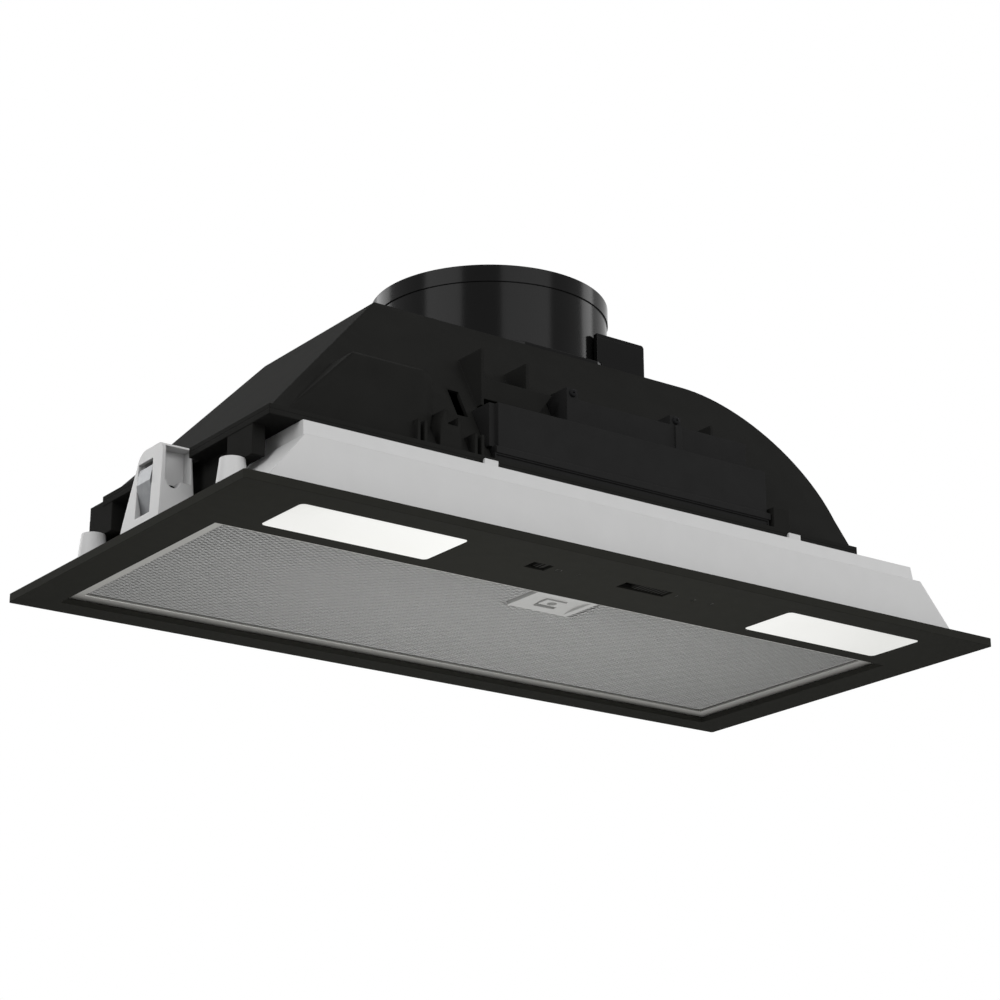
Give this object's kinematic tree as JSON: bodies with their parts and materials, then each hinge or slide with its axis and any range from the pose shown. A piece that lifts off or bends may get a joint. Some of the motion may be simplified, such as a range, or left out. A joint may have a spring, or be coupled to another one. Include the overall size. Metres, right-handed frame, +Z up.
{
  "type": "ceiling range hood",
  "caption": "Built-in canopy range hood with a black trim plate, hinged mesh grease filter, two flush lamps, slide switches and a round duct collar on top.",
  "frame": {"origin": "centre of the trim plate's visible bottom face", "axes": "+X along the long side, +Y to the rear (filter hinge side), +Z up to the duct collar"},
  "size_m": [0.525, 0.26, 0.2075],
  "materials": {
    "black_paint": "satin",
    "grey_plastic": "matt",
    "black_plastic": "matt",
    "opal_plastic": "satin",
    "white_plastic": "matt",
    "circuit_board": "satin",
    "aluminium": "satin",
    "latch_plastic": "matt",
    "steel": "zinc plated",
    "motor_paint": "satin",
    "rubber": "matt"
  },
  "bodies": {
    "casing": {"base_frame": "grey_plastic", "bracket_fix_screws": "steel", "bracket_screws": "steel", "capacitor": "aluminium", "collar_screws": "steel", "control_board": "circuit_board", "control_case": "black_plastic", "control_cover": "black_plastic", "control_lid": "black_plastic", "cover_screws": "steel", "damper_pin": "steel", "frame_screws": "steel", "housing_screws": "steel", "inlet_ring_front": "black_plastic", "inlet_ring_rear": "black_plastic", "junction_box": "black_plastic", "junction_lid": "black_plastic", "lamp_board_left": "circuit_board", "lamp_board_right": "circuit_board", "lamp_cup_left": "white_plastic", "lamp_cup_right": "white_plastic", "lamp_lens_left": "opal_plastic", "lamp_lens_right": "opal_plastic", "lamp_switch": "black_plastic", "lower_housing": "black_plastic", "motor": "motor_paint", "motor_bracket": "steel", "motor_grommets": "rubber", "outlet_collar": "black_plastic", "plate_nuts": "steel", "plate_studs": "steel", "scroll_plate_front": "black_plastic", "scroll_plate_rear": "black_plastic", "side_bracket_left": "grey_plastic", "side_bracket_right": "grey_plastic", "speed_switch": "black_plastic", "supply_cover": "black_plastic", "terminal_block": "white_plastic", "trim_plate": "black_paint", "upper_housing": "black_plastic"},
    "filter": {"filter_rim": "aluminium", "filter_mesh_lower": "aluminium", "filter_mesh_upper": "aluminium", "filter_core": "aluminium", "filter_pins": "steel", "latch_case": "latch_plastic", "latch_spring": "steel"},
    "latch": {"latch_bolt": "latch_plastic"},
    "lamp_slider": {"lamp_knob": "black_plastic"},
    "speed_slider": {"speed_knob": "black_plastic"},
    "fan": {"impeller": "black_plastic", "motor_shaft": "steel"},
    "damper_left": {"damper_flap_left": "black_plastic"},
    "damper_right": {"damper_flap_right": "black_plastic"},
    "clip_left": {"spring_clip_left": "steel"},
    "clip_right": {"spring_clip_right": "steel"}
  },
  "joints": [
    {"name": "filter_hinge", "type": "hinge", "parent": "casing", "child": "filter", "pos_m": [0, 0.1078, 0.008], "axis": [1, 0, 0], "range_deg": [0, 90]},
    {"name": "latch_slide", "type": "slide", "parent": "filter", "child": "latch", "axis": [0, 1, 0], "range_m": [0, 0.004], "stiffness_N_per_m": 200, "deforming": ["latch_spring"]},
    {"name": "lamp_switch_slide", "type": "slide", "parent": "casing", "child": "lamp_slider", "axis": [-1, 0, 0], "range_m": [0, 0.0055]},
    {"name": "speed_switch_slide", "type": "slide", "parent": "casing", "child": "speed_slider", "axis": [-1, 0, 0], "range_m": [0, 0.0105]},
    {"name": "fan_spin", "type": "hinge", "parent": "casing", "child": "fan", "pos_m": [0.09, 0.0254, 0.096], "axis": [0, 1, 0], "continuous": true},
    {"name": "damper_left_hinge", "type": "hinge", "parent": "casing", "child": "damper_left", "pos_m": [0, 0.0254, 0.1725], "axis": [0, 1, 0], "range_deg": [0, 75]},
    {"name": "damper_right_hinge", "type": "hinge", "parent": "casing", "child": "damper_right", "pos_m": [0, 0.0254, 0.1725], "axis": [0, -1, 0], "range_deg": [0, 75]},
    {"name": "clip_left_flex", "type": "hinge", "parent": "casing", "child": "clip_left", "pos_m": [-0.2477, -0.0045, 0.013], "axis": [0, 1, 0], "range_deg": [0, 8], "stiffness_Nm_per_rad": 0.2},
    {"name": "clip_right_flex", "type": "hinge", "parent": "casing", "child": "clip_right", "pos_m": [0.2477, -0.0045, 0.013], "axis": [0, -1, 0], "range_deg": [0, 8], "stiffness_Nm_per_rad": 0.2}
  ]
}
